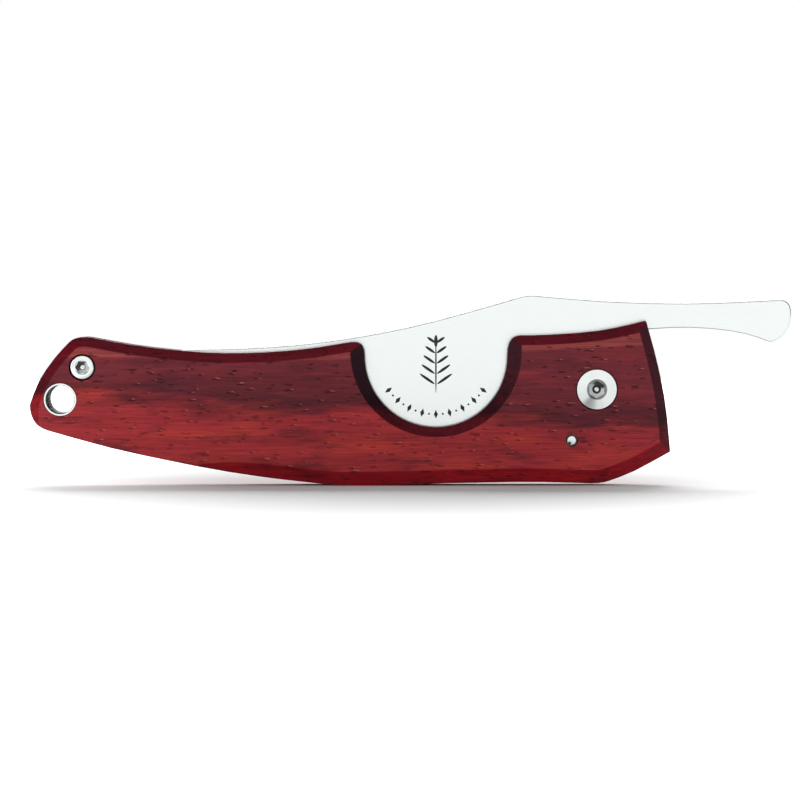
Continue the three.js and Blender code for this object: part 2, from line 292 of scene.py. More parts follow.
def mirrored(piece, name):
    """A copy of a front piece on the rear of the knife."""
    only(piece)
    bpy.ops.object.duplicate()
    copy = bpy.context.object
    copy.name = copy.data.name = name
    copy.scale.y = -1
    bpy.ops.object.transform_apply(location=True, rotation=True, scale=True)
    settle(copy)
    return copy


# ---- Materials ----

def add(tree, kind, inputs=None, **settings):
    """Adds a node with its settings. Inputs are values, or sockets to link from."""
    node = tree.nodes.new(kind)
    for key, value in settings.items():
        setattr(node, key, value)
    for key, value in (inputs or {}).items():
        socket = node.inputs[key]
        if isinstance(value, bpy.types.NodeSocket):
            tree.links.new(value, socket)
        else:
            socket.default_value = value
    return node


def new_material(name):
    """An empty material with its output, and its tree."""
    material = bpy.data.materials.new(name)
    material.use_nodes = True
    tree = material.node_tree
    tree.nodes.clear()
    return material, tree


def close_material(tree, shader):
    """Joins a shader to the material's output."""
    output = tree.nodes.new("ShaderNodeOutputMaterial")
    tree.links.new(shader.outputs[0], output.inputs["Surface"])


def millimetres(tree, scale=(1, 1, 1), turn=(0, 0, 0), centre=(0, 0, 0)):
    """Object coordinates in millimetres from a centre, turned and then stretched."""
    place = add(tree, "ShaderNodeTexCoord")
    centred = add(tree, "ShaderNodeMapping", {
        "Vector": place.outputs["Object"],
        "Location": tuple(-c / MM for c in centre), "Scale": (1 / MM,) * 3,
    })
    stretched = add(tree, "ShaderNodeMapping", {
        "Vector": centred.outputs[0], "Rotation": turn, "Scale": scale,
    })
    return stretched.outputs[0]


def ramp(tree, factor, *stops):
    """A colour ramp with (place, value) stops, a value being a grey or a colour."""
    node = add(tree, "ShaderNodeValToRGB", {"Fac": factor})
    elements = node.color_ramp.elements
    while len(elements) < len(stops):
        elements.new(0.5)
    for element, (place, value) in zip(elements, stops):
        element.position = place
        element.color = (value,) * 3 + (1,) if isinstance(value, (int, float)) else tuple(value)[:3] + (1,)
    return node.outputs["Color"]


def blend_colours(tree, factor, first, second, blend_type="MIX"):
    """Two colours mixed by a factor."""
    node = add(tree, "ShaderNodeMix", data_type="RGBA", blend_type=blend_type)
    for socket, value in ((node.inputs[0], factor), (node.inputs[6], first), (node.inputs[7], second)):
        if isinstance(value, bpy.types.NodeSocket):
            tree.links.new(value, socket)
        elif socket.type == "RGBA":
            socket.default_value = tuple(value)[:3] + (1,)
        else:
            socket.default_value = value
    return node.outputs[2]


def maths(tree, operation, first, second=0.0, third=0.0, clamp=False):
    """One sum on numbers or sockets."""
    node = add(tree, "ShaderNodeMath", operation=operation, use_clamp=clamp)
    for socket, value in zip(node.inputs, (first, second, third)):
        if isinstance(value, bpy.types.NodeSocket):
            tree.links.new(value, socket)
        else:
            socket.default_value = value
    return node.outputs[0]


def noise(tree, scale, shift=(0, 0, 0), detail=3.0, roughness=0.55):
    """Noise in millimetres, stretched along each axis by a scale, as a number."""
    node = add(tree, "ShaderNodeTexNoise", {
        "Vector": millimetres(tree, scale, centre=shift), "Scale": 1.0, "Detail": detail,
        "Roughness": roughness,
    })
    return node.outputs["Fac"]


def faced(tree):
    """The way a surface faces, split into X, Y and Z, and how far it turns off the front or the rear."""
    surface = add(tree, "ShaderNodeNewGeometry")
    normal = add(tree, "ShaderNodeSeparateXYZ", {"Vector": surface.outputs["Normal"]})
    off_face = maths(tree, "SUBTRACT", 1.0, maths(tree, "ABSOLUTE", normal.outputs["Y"]))
    return normal, off_face


def strewn(tree, place, share, inner, outer):
    """Blobs strewn one to a cell, in a share of the cells, solid within inner and gone at outer."""
    cells = add(tree, "ShaderNodeTexVoronoi", {"Vector": place, "Scale": 1.0, "Randomness": 1.0})
    pick = add(tree, "ShaderNodeSeparateColor", {"Color": cells.outputs["Color"]})
    blob = ramp(tree, cells.outputs["Distance"], (inner, 1.0), (outer, 0.0))
    return maths(tree, "MULTIPLY", blob, maths(tree, "LESS_THAN", pick.outputs["Red"], share))


# The height of board that the bands' colours span, in millimetres, and how much the grain climbs.
BAND_SPAN, GRAIN_TILT = 36.0, 0.06
# How far, in millimetres, slow and quick noise push the bands up and down.
BAND_WAVES, BAND_RAGS = 7.0, 6.0
# The pale stripe's border, in millimetres: where the bow's middle lies, and how the border climbs from it.
BOW_MIDDLE, STRIPE_TILT, STRIPE_BOW = -15.0, -0.0155, -0.03
STRIPE_SPAN = 30.0
# Growth rings, and then fibres: their stretch along each axis, and how dark and how bright they go.
FIBRES = (((0.02, 0.5, 0.75), 0.83, 1.15), ((0.2, 3.0, 4.0), 0.78, 1.2))
# Two sorts of pores: their lean, cells to the millimetre along each axis, and the share of cells filled.
PORES = ((0.2, (0.3, 0.9, 1.25), 0.6), (-0.12, (0.42, 1.2, 1.7), 0.5))
PORE_WANDER = (0.5, 0.5, 0.8)
GUM_BESIDE = (-0.15, 0.0, -0.18)
GUM_SHARE, GUM_STRENGTH = 0.6, 0.65
# This far below the middle of its arc, in millimetres, all of the notch's flare takes the second filter of
# painted shade, whichever way it faces.
NOTCH_FLOOR_DROP = 3.0


def oiled_padauk(name, look, shift):
    """Padauk, a red open-pored hardwood, sawn along the grain, sanded and oiled.

    Sawn along the grain it shows plum bands over red ones with a smoky border, short dark pores with
    dried gum beside them, and a fine fibre. Its chamfers are darkened by a filter of painted shade, for
    how they turn away from the lights, with the deeper red of their oil. Faces turned to the right and
    the notch's flare take a darker filter of painted shade, with the darker oil of their end grain.
    """
    material, tree = new_material(name)
    split = add(tree, "ShaderNodeSeparateXYZ", {"Vector": millimetres(tree, centre=shift)})
    # Height up the board, tilted with the grain and made wavy and ragged, picks the band.
    tilted = maths(tree, "MULTIPLY_ADD", split.outputs["X"], GRAIN_TILT, split.outputs["Z"])
    waves = noise(tree, (0.03, 0.05, 0.12), shift)
    wavy = maths(tree, "MULTIPLY_ADD", waves, BAND_WAVES, tilted)
    rags = noise(tree, (0.11, 0.6, 0.9), shift, 5.0, 0.62)
    height = maths(tree, "MULTIPLY_ADD", rags, BAND_RAGS, wavy)
    band = maths(tree, "DIVIDE", height, BAND_SPAN, clamp=True)
    ground = ramp(
        tree, band,
        (0.0, look.wood_mid), (0.46, look.wood_mid), (0.54, look.wood_smoke), (0.6, look.wood_dark),
        (1.0, look.wood_dark),
    )
    # Warm patches in the red part, and smoky smudges that lie along the grain.
    red_part = ramp(tree, band, (0.46, 1.0), (0.56, 0.25))
    warm = ramp(tree, noise(tree, (0.055, 0.2, 0.3), shift, 4.0, 0.6), (0.5, 0.0), (0.66, 0.75))
    ground = blend_colours(tree, maths(tree, "MULTIPLY", warm, red_part), ground, look.wood_warm)
    smoke = ramp(tree, noise(tree, (0.09, 0.35, 0.42), shift, 6.0, 0.66), (0.52, 0.0), (0.7, 0.85))
    ground = blend_colours(tree, smoke, ground, look.wood_smoke)
    normal, off_face = faced(tree)
    chamfer = ramp(tree, off_face, (0.03, 0.0), (0.12, 1.0))
    # The pale stripe just under the top edge has a clear border, as a growth ring has. The border rises
    # to both sides from the middle of the bow, and more steeply to the right.
    from_bow = maths(tree, "SUBTRACT", split.outputs["X"], BOW_MIDDLE)
    ringed = maths(tree, "MULTIPLY_ADD", from_bow, STRIPE_TILT, split.outputs["Z"])
    ringed = maths(tree, "MULTIPLY_ADD", maths(tree, "ABSOLUTE", from_bow), STRIPE_BOW, ringed)
    stripe = ramp(tree, maths(tree, "DIVIDE", ringed, STRIPE_SPAN), (0.683, 0.0), (0.693, 0.85))
    patchy = ramp(tree, noise(tree, (0.05, 0.3, 0.2), shift, 2.0), (0.4, 0.5), (0.55, 1.0))
    on_face = maths(tree, "SUBTRACT", 1.0, chamfer)
    pale = maths(tree, "MULTIPLY", maths(tree, "MULTIPLY", stripe, patchy), on_face)
    ground = blend_colours(tree, pale, ground, look.wood_pale)
    # Growth rings and fibres, from several millimetres down to a few tenths.
    for scale, low, high in FIBRES:
        lines = noise(tree, scale, shift, 4.0, 0.6)
        ground = blend_colours(tree, 1.0, ground, ramp(tree, lines, (0.32, low), (0.68, high)), "MULTIPLY")
    # Pores are short dark slits that wander a little. Gum lies just above and beside them.
    wander = add(tree, "ShaderNodeTexNoise", {
        "Vector": millimetres(tree, (0.9, 0.9, 0.9), centre=shift), "Scale": 1.0, "Detail": 2.0,
    })
    pores = gum = 0.0
    for lean, cell, share in PORES:
        place = millimetres(tree, cell, (0, lean, 0), shift)
        bent = add(tree, "ShaderNodeVectorMath", {
            0: wander.outputs["Color"], 1: PORE_WANDER, 2: place,
        }, operation="MULTIPLY_ADD")
        beside = add(tree, "ShaderNodeVectorMath", {
            0: bent.outputs[0], 1: GUM_BESIDE,
        }, operation="ADD")
        slits = strewn(tree, bent.outputs[0], share, 0.15, 0.28)
        pores = maths(tree, "MAXIMUM", pores, slits)
        beads = strewn(tree, beside.outputs[0], share * GUM_SHARE, 0.05, 0.17)
        gum = maths(tree, "MAXIMUM", gum, beads)
    ground = blend_colours(tree, maths(tree, "MULTIPLY", gum, GUM_STRENGTH), ground, look.wood_fleck)
    # Pores are dark in the plum part, and half filled in the red part.
    emptiness = maths(tree, "MULTIPLY_ADD", red_part, -0.35, 0.9)
    ground = blend_colours(tree, maths(tree, "MULTIPLY", pores, emptiness), ground, look.wood_pore)
    # The flat face keeps its colour. Chamfers take a filter of painted shade, for how they turn away from
    # the lights, with the deeper red of their oil. Every face turned to the right, away from the key light
    # on the left, and the notch's flare, which lies in the notch and is partly end grain, take a second
    # filter of painted shade.
    facing_right_shade = ramp(tree, normal.outputs["X"], (0.2, 0.0), (0.6, 1.0))
    from_notch = add(tree, "ShaderNodeVectorMath", {
        0: millimetres(tree, (1, 0, 1), centre=NOTCH),
    }, operation="LENGTH")
    around = maths(tree, "LESS_THAN", from_notch.outputs["Value"], NOTCH_REACH / MM)
    # The top chamfers beside the notch are left out: they look up, and lie higher than the notch's floor.
    sideways = ramp(tree, normal.outputs["Z"], (0.2, 1.0), (0.6, 0.0))
    floor_height = (NOTCH.z - shift[2]) / MM - NOTCH_FLOOR_DROP
    low_down = maths(tree, "LESS_THAN", split.outputs["Z"], floor_height)
    notch_grain_and_shade = maths(tree, "MULTIPLY", around, maths(tree, "MAXIMUM", sideways, low_down))
    oiled = ground
    for share, filter_colour in (
        (chamfer, look.chamfer_oil_and_shade), (maths(tree, "MULTIPLY", notch_grain_and_shade, chamfer), look.end_grain_and_shade),
        (facing_right_shade, look.end_grain_and_shade),
    ):
        soaked_and_shaded = blend_colours(tree, 1.0, oiled, filter_colour, "MULTIPLY")
        oiled = blend_colours(tree, share, oiled, soaked_and_shaded)
    relief = maths(tree, "SUBTRACT", 0.0, pores)
    bump = add(tree, "ShaderNodeBump", {"Height": relief, "Strength": 0.3, "Distance": 0.06 * MM})
    shader = add(tree, "ShaderNodeBsdfPrincipled", {
        "Base Color": oiled, "Roughness": 0.5, "IOR": 1.5, "Specular IOR Level": 0.12,
        "Normal": bump.outputs["Normal"],
    })
    close_material(tree, shader)
    return material


# How deep the belt's scratches and the lathe's rings go, and how much the scratches change the roughness.
SCRATCH_DEPTH = 0.01 * MM
ROUGHNESS_SPREAD = 0.12


def steel(name, tint, roughness, grain, strength, edge_shade_filter=(1, 1, 1)):
    """Stainless steel with fine parallel scratches from a belt, which draw the light into soft lines.

    A filter paints shade on what doesn't face the front or the rear, so that its rounded edges show as dark
    lines.
    """
    material, tree = new_material(name)
    lines = noise(tree, grain, roughness=0.6)
    bump = add(tree, "ShaderNodeBump", {
        "Height": lines, "Strength": strength, "Distance": SCRATCH_DEPTH,
    })
    # The tint under painted shade, for what turns off the front and the rear.
    ground = blend_colours(tree, 1.0, tint, edge_shade_filter, "MULTIPLY")
    off_face = faced(tree)[1]
    shade = blend_colours(tree, ramp(tree, off_face, (0.08, 0.0), (0.3, 1.0)), tint, ground)
    spread = maths(tree, "MULTIPLY_ADD", lines, ROUGHNESS_SPREAD, roughness - ROUGHNESS_SPREAD / 2)
    shader = add(tree, "ShaderNodeBsdfPrincipled", {
        "Base Color": shade, "Metallic": 1.0, "Roughness": spread, "Normal": bump.outputs["Normal"],
    })
    close_material(tree, shader)
    return material


# Painted light and shade: how bright the colour is in each direction round the screw, from the left,
# through below, right and above. It paints the rays of reflected light that a lathe-faced head shows.
FAN_OF_PAINTED_LIGHT = (
    (0.0, 0.95), (0.1, 0.88), (0.15, 0.4), (0.2, 0.5), (0.26, 0.88), (0.36, 0.97), (0.55, 0.93),
    (0.68, 1.0), (0.8, 0.95), (0.92, 1.0), (1.0, 0.95),
)
# Painted highlight on the floor of a socket, save for a part left in painted shade, in the same order.
PIVOT_PAINTED_SHINE = ((0.0, 1.0), (0.5, 1.0), (0.56, 0.05), (0.8, 0.1), (0.87, 0.9), (1.0, 1.0))
TAIL_PAINTED_SHINE = ((0.0, 0.1), (0.1, 0.2), (0.16, 1.0), (0.62, 1.0), (0.7, 0.1), (1.0, 0.05))
# How deep the floor of a socket lies, in millimetres, the radius of the bright point in its middle, which
# the painted shade leaves out, and the share of the socket's own radius that the ring of painted shade
# round the point reaches.
SOCKET_FLOOR_DEPTH = 1.0
CENTRE_MARK, RING_SHARE = 0.36, 0.41


def turned_steel(name, look, centre, face, shade_within, roughness=0.3, painted_fan=None, painted_shine=None):
    """Stainless steel faced on a lathe, with fine rings round its own centre.

    Rays of light and shade round its centre can be painted into its colour. Bores and sockets, within a
    radius and below the face, take painted shade, with painted highlights on it: by direction on a
    socket's floor, and strewn at random in other bores.
    """
    material, tree = new_material(name)
    split = add(tree, "ShaderNodeSeparateXYZ", {"Vector": millimetres(tree, centre=centre)})
    x, y, z = (split.outputs[axis] for axis in "XYZ")
    squares = maths(tree, "MULTIPLY_ADD", x, x, maths(tree, "MULTIPLY", z, z))
    radius = maths(tree, "SQRT", squares)
    depth = maths(tree, "SUBTRACT", face / MM, maths(tree, "ABSOLUTE", y))
    # The direction round the centre, from 0 to 1.
    turn = maths(tree, "MULTIPLY_ADD", maths(tree, "ARCTAN2", z, x), 0.5 / math.pi, 0.5)
    tone = look.steel
    # Painted rays of light and shade round the centre.
    if painted_fan:
        tone = blend_colours(tree, 1.0, look.steel, ramp(tree, turn, *painted_fan), "MULTIPLY")
    # Painted highlights in the shade: on a socket's floor, by direction, and elsewhere strewn at random.
    if painted_shine:
        deep = maths(tree, "GREATER_THAN", depth, SOCKET_FLOOR_DEPTH)
        off_ring = maths(tree, "GREATER_THAN", radius, RING_SHARE * shade_within / MM)
        floor = maths(tree, "MULTIPLY", deep, off_ring)
        marks = maths(tree, "MULTIPLY", floor, ramp(tree, turn, *painted_shine))
    else:
        marks = ramp(tree, noise(tree, (2.4, 0.4, 2.4), centre, 2.0), (0.5, 0.0), (0.66, 0.4))
    # Painted shade within a radius and below the face, save the bright point in the middle.
    in_bore = maths(tree, "LESS_THAN", radius, shade_within / MM)
    off_centre = maths(tree, "GREATER_THAN", radius, CENTRE_MARK)
    within = maths(tree, "MULTIPLY", in_bore, off_centre)
    inside = maths(tree, "MULTIPLY", within, ramp(tree, depth, (0.08, 0.0), (0.3, 1.0)))
    shade = blend_colours(tree, inside, tone, blend_colours(tree, marks, look.recess_shade, look.painted_glint))
    rings = add(tree, "ShaderNodeTexWave", {
        "Vector": millimetres(tree, (1, 0, 1), centre=centre), "Scale": 2.6, "Distortion": 0.4,
        "Detail": 2.0, "Detail Scale": 1.5,
    }, wave_type="RINGS", rings_direction="Y")
    bump = add(tree, "ShaderNodeBump", {
        "Height": rings.outputs["Fac"], "Strength": 0.15, "Distance": SCRATCH_DEPTH,
    })
    shader = add(tree, "ShaderNodeBsdfPrincipled", {
        "Base Color": shade, "Metallic": maths(tree, "MULTIPLY_ADD", inside, -1.0, 1.0),
        "Roughness": maths(tree, "MULTIPLY_ADD", inside, 0.5, roughness), "Normal": bump.outputs["Normal"],
    })
    close_material(tree, shader)
    return material


def dark_oxide(name, tint):
    """Laser-darkened steel: a thin matt oxide, a little uneven."""
    material, tree = new_material(name)
    uneven = add(tree, "ShaderNodeTexNoise", {
        "Vector": millimetres(tree, (6, 6, 6)), "Scale": 1.0, "Detail": 2.0,
    })
    tone = ramp(tree, uneven.outputs["Fac"], (0.3, [c * 0.7 for c in tint]), (0.7, [c * 1.4 for c in tint]))
    shader = add(tree, "ShaderNodeBsdfPrincipled", {
        "Base Color": tone, "Roughness": 0.6, "IOR": 1.5,
    })
    close_material(tree, shader)
    return material


def bronze(name, look):
    """Phosphor bronze, rolled and punched: warm and slightly dulled."""
    material, tree = new_material(name)
    patch = add(tree, "ShaderNodeTexNoise", {
        "Vector": millimetres(tree, (2, 2, 2)), "Scale": 1.0, "Detail": 3.0,
    })
    tone = ramp(tree, patch.outputs["Fac"], (0.3, look.bronze_dull), (0.7, look.bronze_bright))
    shader = add(tree, "ShaderNodeBsdfPrincipled", {
        "Base Color": tone, "Metallic": 1.0, "Roughness": 0.4,
    })
    close_material(tree, shader)
    return material


def finish(piece, material, body="handle"):
    """Gives a piece its one material and its body."""
    piece.data.materials.clear()
    piece.data.materials.append(material)
    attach(piece, body)


# ---- Pieces ----

SHORTEST_WOOD_EDGE = 0.12 * MM
# Where in the log the rear board is cut from, so that its figure is its own.
REAR_BOARD = (37 * MM, 90 * MM, 2 * MM)


class KNIFE_OT_scales(bpy.types.Operator):
    """Adds the two wooden scales, with sanded edges"""

    bl_idname = "knife.scales"
    bl_label = "Wooden scales"

    def execute(self, context):
        sizes, look = context.scene.knife_sizes, context.scene.knife_colours
        for node, name, shift in (
            ("front_scale", "front_wood", (0, 0, 0)),
            ("rear_scale", "rear_wood", REAR_BOARD),
        ):
            piece = dressed(node, name, sizes.wood_round, crisp=HOLES, merge=SHORTEST_WOOD_EDGE)
            finish(piece, oiled_padauk(f"oiled padauk {name}", look, shift))
        return {"FINISHED"}


SPRIG_CENTRE = NOTCH + Vector((0, 0, -1.9 * MM))
SPRIG_HEIGHT = 8.6 * MM
SPRIG_STROKE = 0.13 * MM
TOP_LEAF = (0.3 * MM, 1.0 * MM)
LEAF_PAIRS = 5
# How far the leaves lean outwards, in radians, their half width, and the length of the lowest and the
# step from pair to pair.
LEAF_LEAN = math.radians(38) + 0.3
LEAF_HALF_WIDTH = 0.23 * MM
LONGEST_LEAF, LEAF_STEP = 1.75, 0.2
# Where the lowest pair grows, as a share of the sprig's height below its middle.
LOWEST_PAIR = 0.34
# The border runs along an arc, from one angle to the other, in degrees.
BORDER_RADIUS = 9.65 * MM
BORDER_MARKS = 17
BORDER_FROM, BORDER_TO = 216, 324
LOZENGE = (4, (0.34 * MM, 0.72 * MM))
DOT = (20, (0.17 * MM, 0.17 * MM))


def flat_mark(corners, place, size, lean):
    """One filled mark in the plane of the blade: a circle of few or many corners, stretched and leant."""
    start_clean()
    bpy.ops.mesh.primitive_circle_add(
        vertices=corners, radius=1, fill_type="NGON", location=place, rotation=(math.pi / 2, 0, 0)
    )
    mark = bpy.context.object
    bpy.ops.object.transform_apply(location=True, rotation=True, scale=True)
    edit(mark)
    bpy.ops.transform.resize(value=(size[0], 1, size[1]), center_override=place)
    bpy.ops.transform.rotate(value=lean, orient_axis="Y", center_override=place)
    return mark


def joined_marks(name, marks, depth):
    """Marks joined as one thin piece that stands just above the steel."""
    start_clean()
    for mark in marks:
        mark.select_set(True)
    bpy.context.view_layer.objects.active = marks[0]
    bpy.ops.object.join()
    piece = bpy.context.object
    piece.name = piece.data.name = name
    edit(piece)
    bpy.ops.mesh.extrude_region_move(TRANSFORM_OT_translate={"value": (0, depth * 2, 0)})
    settle(piece, 30)
    return piece


def sprig_marks(y):
    """A leafy sprig: a narrow stem, pairs of slim leaves that lean outwards, and a leaf at the top."""
    x, z = SPRIG_CENTRE.x, SPRIG_CENTRE.z
    marks = [flat_mark(24, (x, y, z), (SPRIG_STROKE, SPRIG_HEIGHT / 2), 0)]
    marks.append(flat_mark(24, (x, y, z + SPRIG_HEIGHT / 2), TOP_LEAF, 0))
    for pair in range(LEAF_PAIRS):
        rise = SPRIG_HEIGHT * (pair / LEAF_PAIRS - LOWEST_PAIR)
        reach = (LONGEST_LEAF - LEAF_STEP * pair) * MM
        out, up = reach * math.sin(LEAF_LEAN), reach * math.cos(LEAF_LEAN)
        for side in (-1, 1):
            place = (x + side * out, y, z + rise + up)
            marks.append(flat_mark(24, place, (LEAF_HALF_WIDTH, reach * 0.85), -side * LEAF_LEAN))
    return marks


def border_marks(y):
    """Lozenges and dots in turn along an arc under the sprig."""
    marks = []
    for i in range(BORDER_MARKS):
        angle = math.radians(BORDER_FROM + (BORDER_TO - BORDER_FROM) * i / (BORDER_MARKS - 1))
        place = (NOTCH.x + BORDER_RADIUS * math.cos(angle), y, NOTCH.z + BORDER_RADIUS * math.sin(angle))
        corners, size = DOT if i % 2 else LOZENGE
        marks.append(flat_mark(corners, place, size, angle - math.pi / 2))
    return marks


class KNIFE_OT_blade(bpy.types.Operator):
    """Adds the blade with its tail, and a dark engraved sprig and border on its front"""

    bl_idname = "knife.blade"
    bl_label = "Blade"

    def execute(self, context):
        sizes, look = context.scene.knife_sizes, context.scene.knife_colours
        blade = dressed("blade", "blade_with_tail", sizes.steel_round, edge_angle=24, crisp=HOLES[:1])
        satin = steel(
            "satin polished stainless steel", look.steel, 0.24, (0.3, 12, 12), 0.03, look.edge_shade,
        )
        finish(blade, satin, "blade")
        y = -BLADE_FACE - sizes.engraving
        oxide = dark_oxide("laser-darkened steel", look.ink)
        for name, marks in (("engraved_sprig", sprig_marks(y)), ("engraved_border", border_marks(y))):
            finish(joined_marks(name, marks, sizes.engraving), oxide, "blade")
        return {"FINISHED"}


class KNIFE_OT_liners(bpy.types.Operator):
    """Adds the two steel liners and the spacer between them"""

    bl_idname = "knife.liners"
    bl_label = "Liners and spacer"

    def execute(self, context):
        sizes, look = context.scene.knife_sizes, context.scene.knife_colours
        brushed = steel("brushed stainless steel", look.liner, 0.36, (0.4, 7, 7), 0.2)
        for node, name in (
            ("front_liner", "front_liner_plate"), ("rear_liner", "rear_liner_plate"),
            ("tail_spacer", "spacer_bar"),
        ):
            finish(dressed(node, name, sizes.liner_round, 2, crisp=HOLES), brushed)
        return {"FINISHED"}


# How far below the wood's face the screws' heads are seated, and where their shanks end in the sleeve.
HEAD_SEAT, SHANK_END = 1.9 * MM, 0.4 * MM


def socketed(screw, place, face, across_flats, depth, turn):
    """Cuts a hexagon socket with a drilled point at its floor into a screw's head."""
    radius = across_flats / math.sqrt(3)
    start_clean()
    bpy.ops.mesh.primitive_cylinder_add(
        vertices=6, radius=radius, depth=2 * depth, location=(place.x, -face, place.z),
        rotation=(math.pi / 2, turn, 0),
    )
    hexagon = bpy.context.object
    bpy.ops.object.transform_apply(location=True, rotation=True, scale=True)
    cut(screw, hexagon)
    drill = turned("drill", place, [
        (0.01 * MM, face - depth - 0.45 * MM), (radius * 0.8, face - depth + 0.02 * MM),
        (radius * 0.8, face - depth + 0.1 * MM),
    ], 48)
    cut(screw, drill)
    settle(screw, 30)


class KNIFE_OT_pivot(bpy.types.Operator):
    """Adds the two pivot screws, and finishes the sleeve and the washers inside the pivot"""

    bl_idname = "knife.pivot"
    bl_label = "Pivot"

    def execute(self, context):
        sizes, look = context.scene.knife_sizes, context.scene.knife_colours
        head = radius_of("front_pivot_screw")
        shank = 1.4 * MM
        seat = FACE - HEAD_SEAT
        lathe = turned_steel(
            "faced stainless steel of the pivot", look, PIVOT, FACE, 1.75 * MM, 0.3, FAN_OF_PAINTED_LIGHT,
            PIVOT_PAINTED_SHINE,
        )
        # The shank, the underside, the rim with its rounded corner, the crown, and the socket's lead-in.
        front = turned("front_pivot_head", PIVOT, [
            (shank, SHANK_END), (shank, seat),
            (head - 0.1 * MM, seat), (head, seat + 0.1 * MM),
            (head, FACE - 0.36 * MM), (head - 0.05 * MM, FACE - 0.24 * MM),
            (head - 0.16 * MM, FACE - 0.16 * MM), (head - 0.34 * MM, FACE - 0.16 * MM),
            (1.78 * MM, FACE - 0.02 * MM), (1.68 * MM, FACE - 0.02 * MM),
            (1.5 * MM, FACE - 0.22 * MM),
        ])
        socketed(front, PIVOT, FACE, sizes.pivot_socket, 1.4 * MM, 0)
        rear = mirrored(front, "rear_pivot_head")
        for piece, node in ((front, "front_pivot_screw"), (rear, "rear_pivot_screw")):
            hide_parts(node)
            finish(piece, lathe)
        inner = steel("ground stainless steel", look.liner, 0.3, (6, 0.5, 6), 0.1)
        for node in ("pivot_sleeve", "tail_sleeve"):
            finish(frame["nodes"][node], inner)
        washer = bronze("phosphor bronze", look)
        for node in ("front_pivot_washer", "rear_pivot_washer"):
            finish(frame["nodes"][node], washer)
        return {"FINISHED"}


class KNIFE_OT_tail_screws(bpy.types.Operator):
    """Adds the two small screws near the lanyard hole"""

    bl_idname = "knife.tail_screws"
    bl_label = "Tail screws"

    def execute(self, context):
        sizes, look = context.scene.knife_sizes, context.scene.knife_colours
        head = radius_of("front_tail_screw")
        shank = 0.95 * MM
        face = front_of("front_tail_screw")
        seat = FACE - HEAD_SEAT
        lathe = turned_steel(
            "faced stainless steel of the tail screws", look, TAIL_SCREW, face, 1.2 * MM, 0.22,
            painted_shine=TAIL_PAINTED_SHINE,
        )
        # The shank, the underside, the rim with its rounded corner, the face, and the socket's lead-in.
        front = turned("front_tail_head", TAIL_SCREW, [
            (shank, SHANK_END), (shank, seat),
            (head - 0.06 * MM, seat), (head, seat + 0.06 * MM),
            (head, face - 0.22 * MM), (head - 0.06 * MM, face - 0.08 * MM),
            (head - 0.2 * MM, face), (1.2 * MM, face), (1.1 * MM, face - 0.08 * MM),
        ])
        socketed(front, TAIL_SCREW, face, sizes.tail_socket, 1.1 * MM, math.pi / 6)
        rear = mirrored(front, "rear_tail_head")
        for piece, node in ((front, "front_tail_screw"), (rear, "rear_tail_screw")):
            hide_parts(node)
            finish(piece, lathe)
        return {"FINISHED"}


class KNIFE_OT_lanyard_tube(bpy.types.Operator):
    """Adds the steel tube through the lanyard hole, with rounded rims"""

    bl_idname = "knife.lanyard_tube"
    bl_label = "Lanyard tube"

    def execute(self, context):
        look = context.scene.knife_colours
        wall = 0.45 * MM
        rim = 0.1 * MM
        outer = radius_of("lanyard_tube")
        inner = outer - wall
        tube = turned("lanyard_tube_wall", LANYARD, [
            (inner + rim, -FACE), (outer - rim, -FACE), (outer, -FACE + rim), (outer, FACE - rim),
            (outer - rim, FACE), (inner + rim, FACE), (inner, FACE - 1.6 * rim), (inner, 1.6 * rim - FACE),
            (inner + rim, -FACE),
        ], hollow=True)
        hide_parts("lanyard_tube")
        # The tube's bore takes painted shade, with painted highlights strewn at random.
        drawn = turned_steel(
            "drawn stainless steel of the tube", look, LANYARD, FACE, inner + 0.04 * MM, 0.2,
        )
        finish(tube, drawn)
        return {"FINISHED"}


# Where the punch left its mark on the pin's end, off the pin's middle, and the mark's radius and depth.
DIMPLE_PLACE = Vector((-0.32, 0, -0.36)) * MM
DIMPLE_RADIUS, DIMPLE_DEPTH = 0.26 * MM, 0.3 * MM


class KNIFE_OT_stop_pin(bpy.types.Operator):
    """Adds the stop pin, whose ends are peened a little"""

    bl_idname = "knife.stop_pin"
    bl_label = "Stop pin"

    def execute(self, context):
        look = context.scene.knife_colours
        radius = radius_of("stop_pin")
        end = front_of("stop_pin")
        pin = turned("stop_pin_rod", STOP_PIN, [
            (radius * 0.35, -end), (radius * 0.8, 0.04 * MM - end), (radius, 0.2 * MM - end),
            (radius, end - 0.2 * MM), (radius * 0.8, end - 0.04 * MM), (radius * 0.35, end),
        ], 48)
        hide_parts("stop_pin")
        dimple = turned("dimple", STOP_PIN + DIMPLE_PLACE, [
            (DIMPLE_RADIUS, end - DIMPLE_DEPTH), (DIMPLE_RADIUS, end + DIMPLE_DEPTH),
        ], 24)
        cut(pin, dimple)
        settle(pin, 30)
        # The punch mark and the rounded rim of the pin's end take painted shade, with painted highlights
        # strewn at random.
        peened = turned_steel("peened stainless steel", look, STOP_PIN, end, radius, 0.32)
        finish(pin, peened)
        return {"FINISHED"}


# ---- Stage ----

VIEW_WIDTH = 131.15 * MM
VIEW_AIM = (-1.8 * MM, -FACE, 14.1 * MM)
VIEW_DISTANCE = 0.8
VIEW_RAISED = math.radians(1.2)
SENSOR = 36.0
NEAREST_SEEN = 0.01
FLOOR_RADIUS = 1.05
# The floor glows from this far out, so that it meets the white backdrop with no line. It glows more
# behind the object, where less light reaches it, and it comes in sooner past the object's two ends.
GLOW_FROM, GLOW_TO = 0.04, 0.2
GLOW_SOONER_SIDEWAYS = 2.0
FRONT_GLOW, REAR_GLOW = 0.7, 1.1
